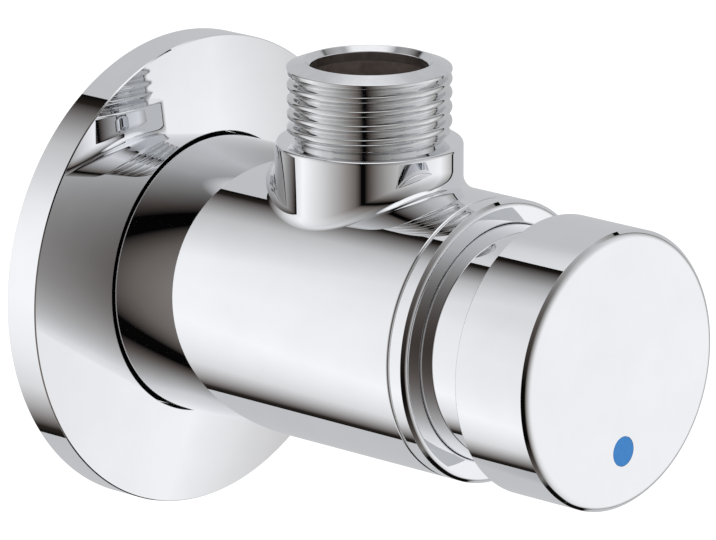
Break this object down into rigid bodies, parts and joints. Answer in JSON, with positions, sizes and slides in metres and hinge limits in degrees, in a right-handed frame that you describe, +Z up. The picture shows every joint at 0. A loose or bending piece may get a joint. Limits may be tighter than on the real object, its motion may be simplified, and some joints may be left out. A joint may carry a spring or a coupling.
{
  "type": "self-closing shower valve",
  "caption": "Wall-mounted self-closing shower valve: chromed cylindrical body on a domed wall plate, with an upward threaded outlet and a large round push button in front.",
  "frame": {"origin": "on the valve's axis in the plane of the wall, which is the back face of the wall plate", "axes": "+Z up through the outlet, +Y along the valve's axis into the wall, so the button faces -Y"},
  "size_m": [0.0614, 0.0891, 0.0627],
  "materials": {
    "chrome": "polished chrome plate on brass",
    "brass": "machined",
    "steel": "drawn stainless steel",
    "rubber": "moulded EPDM",
    "plastic": "moulded acetal",
    "blue_mark": "enamel, smooth"
  },
  "bodies": {
    "valve": {"valve_body": "chrome", "inlet_strainer": "steel", "flow_limiter": "plastic", "cartridge_housing": "brass", "valve_seat": "steel", "rear_oring": "rubber", "front_oring": "rubber", "housing_cap": "brass", "cap_oring": "rubber", "stem_seal": "rubber", "stem_bush": "plastic", "slip_ring": "plastic", "collar": "chrome", "sleeve_wiper": "rubber", "guide_pin": "steel", "return_spring": "steel"},
    "wall_plate": {"escutcheon": "chrome", "escutcheon_ring": "rubber"},
    "button": {"stem": "steel", "piston": "brass", "piston_seal": "rubber", "piston_clip": "steel", "timing_jet": "brass", "poppet": "brass", "seat_washer": "rubber", "poppet_nut": "steel", "button_sleeve": "chrome", "button_nut": "steel", "button_cap": "chrome", "indicator_dot": "blue_mark"}
  },
  "joints": [
    {"name": "button_press", "type": "slide", "parent": "valve", "child": "button", "axis": [0, 1, 0], "range_m": [0, 0.007], "stiffness_N_per_m": 1200, "springref_m": -0.006, "deforming": ["return_spring"]},
    {"name": "escutcheon_slide", "type": "slide", "parent": "valve", "child": "wall_plate", "axis": [0, -1, 0], "range_m": [0, 0.01]}
  ]
}
